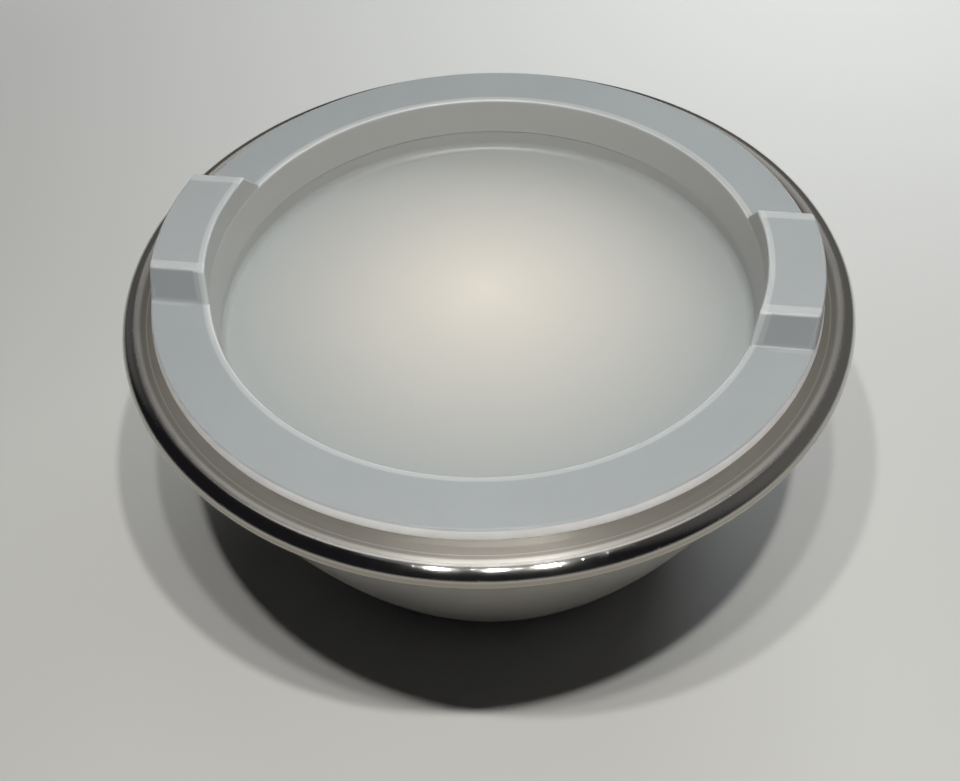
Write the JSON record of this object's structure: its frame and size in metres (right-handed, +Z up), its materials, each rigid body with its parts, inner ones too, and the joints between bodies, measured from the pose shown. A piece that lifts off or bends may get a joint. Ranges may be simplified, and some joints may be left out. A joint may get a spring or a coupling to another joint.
{
  "type": "insulated bowl with lid",
  "caption": "Double-walled steel bowl with a thick rolled rim and a frosted plug lid with raised ears on its flat ring, for keeping food hot or cold.",
  "frame": {"origin": "centre of the bowl's base, on the table", "axes": "+Z up along the bowl's axis; the lid's ears lie towards -X and +X, and -Y is the front, on the side of the picture's camera"},
  "size_m": [0.152, 0.152, 0.0758],
  "materials": {
    "steel": "satin brushed, with a polished rolled rim",
    "frosted_plastic": "frosted, slightly translucent",
    "seal_rubber": "soft, matte"
  },
  "bodies": {
    "bowl": {"outer_shell": "steel", "liner": "steel"},
    "lid": {"lid": "frosted_plastic", "lid_seal": "seal_rubber"}
  },
  "joints": [
    {"name": "lid_lift", "type": "slide", "parent": "bowl", "child": "lid", "axis": [0, 0, 1], "range_m": [0, 0.08]}
  ]
}
